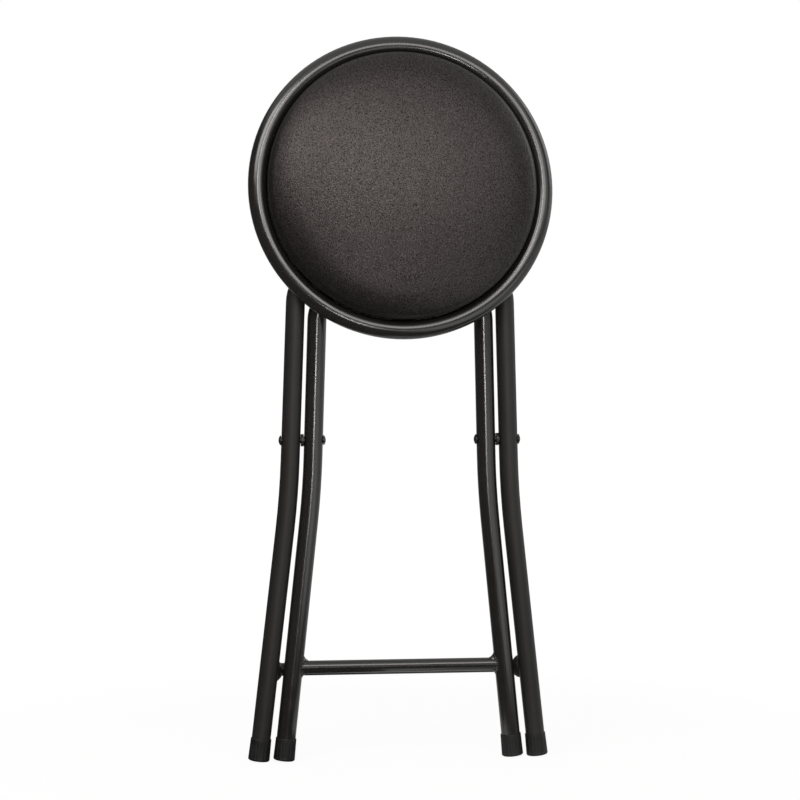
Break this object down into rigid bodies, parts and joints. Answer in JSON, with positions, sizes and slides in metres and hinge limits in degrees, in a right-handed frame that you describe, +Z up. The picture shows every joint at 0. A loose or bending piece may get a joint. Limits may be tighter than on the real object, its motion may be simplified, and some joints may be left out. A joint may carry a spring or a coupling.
{
  "type": "folding stool",
  "caption": "Folding stool with a round padded seat in a tube ring, hung on two crossed bent-tube leg frames that pivot on rivets.",
  "frame": {"origin": "on the floor, under the middle of the folded stool's width and depth", "axes": "+X to the right across the stool, +Y to the back, +Z up along the folded stool"},
  "size_m": [0.305, 0.1048, 0.7235],
  "materials": {
    "frame_paint": "satin",
    "rivet_black": "satin",
    "foot_rubber": "matte",
    "vinyl": "satin",
    "pad_foam": "matte",
    "board_wood": "matte",
    "clip_plastic": "matte",
    "screw_steel": "satin"
  },
  "bodies": {
    "hinge_pins": {"rivet_left": "rivet_black", "rivet_right": "rivet_black", "spacer_left": "rivet_black", "spacer_right": "rivet_black"},
    "outer_frame": {"outer_frame_tube": "frame_paint", "outer_crossbar": "frame_paint", "outer_welds": "frame_paint", "foot_cap_outer_left": "foot_rubber", "foot_cap_outer_right": "foot_rubber"},
    "inner_frame": {"inner_frame_tube": "frame_paint", "inner_crossbar": "frame_paint", "inner_welds": "frame_paint", "foot_cap_inner_left": "foot_rubber", "foot_cap_inner_right": "foot_rubber"},
    "seat": {"seat_ring": "frame_paint", "ring_tab_1": "frame_paint", "ring_tab_2": "frame_paint", "ring_tab_3": "frame_paint", "ring_tab_4": "frame_paint", "seat_board": "board_wood", "seat_foam": "pad_foam", "seat_cover": "vinyl", "pivot_bracket_left": "frame_paint", "pivot_bracket_right": "frame_paint", "pivot_bush_left": "clip_plastic", "pivot_bush_right": "clip_plastic", "catch_clip_left": "clip_plastic", "catch_clip_right": "clip_plastic", "bracket_screws": "screw_steel", "clip_screws": "screw_steel", "tab_screws": "screw_steel"}
  },
  "joints": [
    {"name": "outer_fold", "type": "hinge", "parent": "hinge_pins", "child": "outer_frame", "pos_m": [0, -0.0041, 0.3216], "axis": [1, 0, 0], "range_deg": [0, 30]},
    {"name": "inner_fold", "type": "hinge", "parent": "hinge_pins", "child": "inner_frame", "pos_m": [0, -0.0041, 0.3216], "axis": [-1, 0, 0], "range_deg": [0, 30]},
    {"name": "seat_pivot", "type": "hinge", "parent": "outer_frame", "child": "seat", "pos_m": [0, -0.0041, 0.4966], "axis": [-1, 0, 0], "range_deg": [0, 110.2]}
  ],
  "couplings": [
    {"joint": "inner_fold", "follows": "outer_fold", "ratio": 1},
    {"joint": "seat_pivot", "follows": "outer_fold", "ratio": 3.6733}
  ]
}
